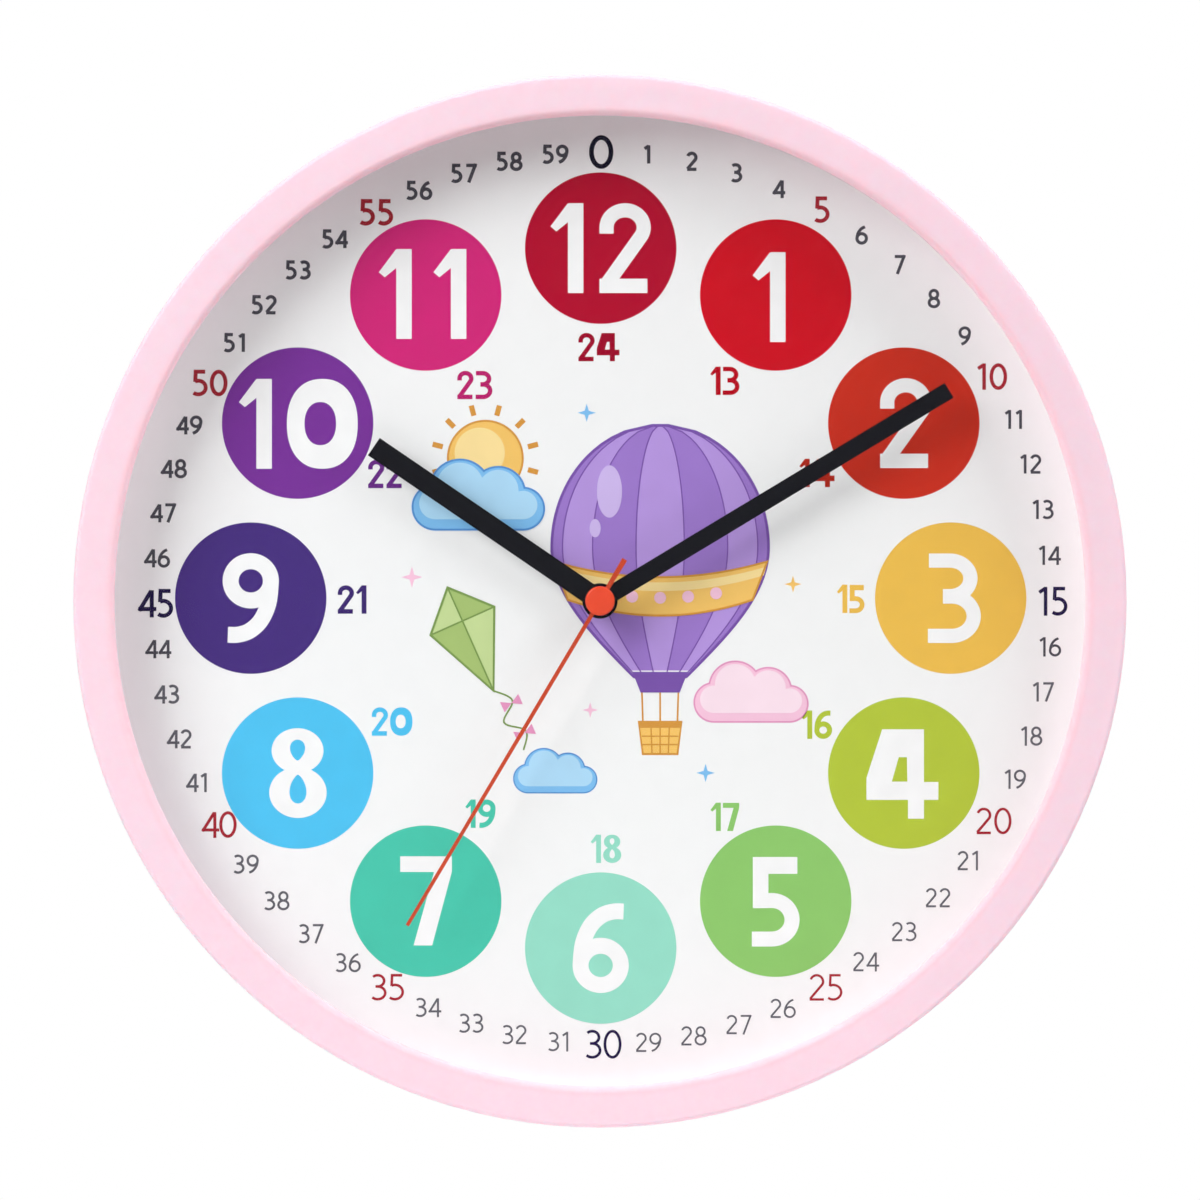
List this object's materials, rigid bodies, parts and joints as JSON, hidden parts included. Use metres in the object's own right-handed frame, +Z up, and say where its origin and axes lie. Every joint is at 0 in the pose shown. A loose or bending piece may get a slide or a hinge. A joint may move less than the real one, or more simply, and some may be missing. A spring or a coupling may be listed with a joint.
{
  "type": "wall clock",
  "caption": "Round teaching wall clock: pink case, clear lens, white dial with coloured hour discs, hour, minute and second hands, battery movement and keyhole hanger",
  "frame": {"origin": "centre of the keyhole's round entry, on the rear face of the hanger strap, which hangs 1 mm in front of the wall", "axes": "+Z up the wall, +Y from the front of the clock to the wall, +X to the right seen from the front"},
  "size_m": [0.3, 0.04, 0.3],
  "materials": {
    "pink_plastic": "matte",
    "clear_lens": "polished",
    "dial_board": "matte",
    "plate_plastic": "matte",
    "zinc_steel": "satin",
    "black_plastic": "matte",
    "foam": "matte",
    "bridge_plastic": "matte",
    "wheel_plastic": "satin",
    "brass": "satin",
    "magnet": "satin",
    "core_iron": "satin",
    "copper_wire": "satin",
    "board": "satin",
    "can_steel": "satin",
    "chip_resin": "gloss",
    "contact_steel": "satin",
    "cell_jacket": "gloss",
    "hand_black": "matte",
    "hand_orange": "satin",
    "cap_orange": "gloss"
  },
  "bodies": {
    "case": {"bezel": "pink_plastic", "lens": "clear_lens", "spacer_ring": "pink_plastic", "dial": "dial_board", "back_plate": "plate_plastic", "case_screws": "zinc_steel", "hanger_strap": "zinc_steel", "hanger_screws": "zinc_steel", "movement_front_shell": "black_plastic", "movement_rear_shell": "black_plastic", "pad": "foam", "train_bridge": "bridge_plastic", "bridge_screws": "zinc_steel", "stator": "core_iron", "coil_core": "core_iron", "coil_bobbin": "bridge_plastic", "coil_winding": "copper_wire", "circuit_board": "board", "quartz_can": "can_steel", "chip_cover": "chip_resin", "positive_contact": "contact_steel", "negative_contact": "contact_steel"},
    "seconds": {"second_wheel": "wheel_plastic", "second_arbor": "zinc_steel", "second_hand": "hand_orange", "second_tube": "brass", "second_cap": "cap_orange"},
    "minutes": {"minute_shaft": "brass", "clutch_washer": "zinc_steel", "minute_hand": "hand_black"},
    "hours": {"hour_wheel": "wheel_plastic", "hour_hand": "hand_black"},
    "centre": {"centre_wheel": "wheel_plastic"},
    "motion": {"motion_wheel": "wheel_plastic"},
    "third": {"third_wheel": "wheel_plastic"},
    "intermediate": {"intermediate_wheel": "wheel_plastic"},
    "rotor": {"rotor_pinion_hub": "wheel_plastic", "rotor_magnet": "magnet"},
    "setting": {"setting_shaft": "wheel_plastic", "setting_knob": "black_plastic"},
    "battery": {"cell": "cell_jacket"}
  },
  "joints": [
    {"name": "second_spin", "type": "hinge", "parent": "case", "child": "seconds", "pos_m": [0, -0.0305, -0.095], "axis": [0, 1, 0], "continuous": true},
    {"name": "minute_spin", "type": "hinge", "parent": "case", "child": "minutes", "pos_m": [0, -0.0278, -0.095], "axis": [0, 1, 0], "continuous": true},
    {"name": "hour_spin", "type": "hinge", "parent": "case", "child": "hours", "pos_m": [0, -0.0256, -0.095], "axis": [0, 1, 0], "continuous": true},
    {"name": "centre_spin", "type": "hinge", "parent": "case", "child": "centre", "pos_m": [0, -0.0079, -0.095], "axis": [0, 1, 0], "continuous": true},
    {"name": "third_spin", "type": "hinge", "parent": "case", "child": "third", "pos_m": [0, -0.0053, -0.0858], "axis": [0, 1, 0], "continuous": true},
    {"name": "intermediate_spin", "type": "hinge", "parent": "case", "child": "intermediate", "pos_m": [-0.00875, -0.0027, -0.095], "axis": [0, 1, 0], "continuous": true},
    {"name": "rotor_spin", "type": "hinge", "parent": "case", "child": "rotor", "pos_m": [-0.01511, -0.0046, -0.10136], "axis": [0, 1, 0], "continuous": true},
    {"name": "motion_spin", "type": "hinge", "parent": "case", "child": "motion", "pos_m": [0.0094, -0.0093, -0.095], "axis": [0, 1, 0], "continuous": true},
    {"name": "setting_spin", "type": "hinge", "parent": "case", "child": "setting", "pos_m": [0.0188, -0.0011, -0.095], "axis": [0, 1, 0], "continuous": true},
    {"name": "cell_slide", "type": "slide", "parent": "case", "child": "battery", "axis": [0, 1, 0], "range_m": [0, 0.018]}
  ],
  "couplings": [
    {"joint": "centre_spin", "follows": "second_spin", "ratio": 0.016667},
    {"joint": "third_spin", "follows": "second_spin", "ratio": -0.13333},
    {"joint": "intermediate_spin", "follows": "second_spin", "ratio": -6},
    {"joint": "rotor_spin", "follows": "second_spin", "ratio": 30},
    {"joint": "motion_spin", "follows": "minute_spin", "ratio": -0.33333},
    {"joint": "hour_spin", "follows": "minute_spin", "ratio": 0.083333},
    {"joint": "setting_spin", "follows": "minute_spin", "ratio": 1}
  ]
}
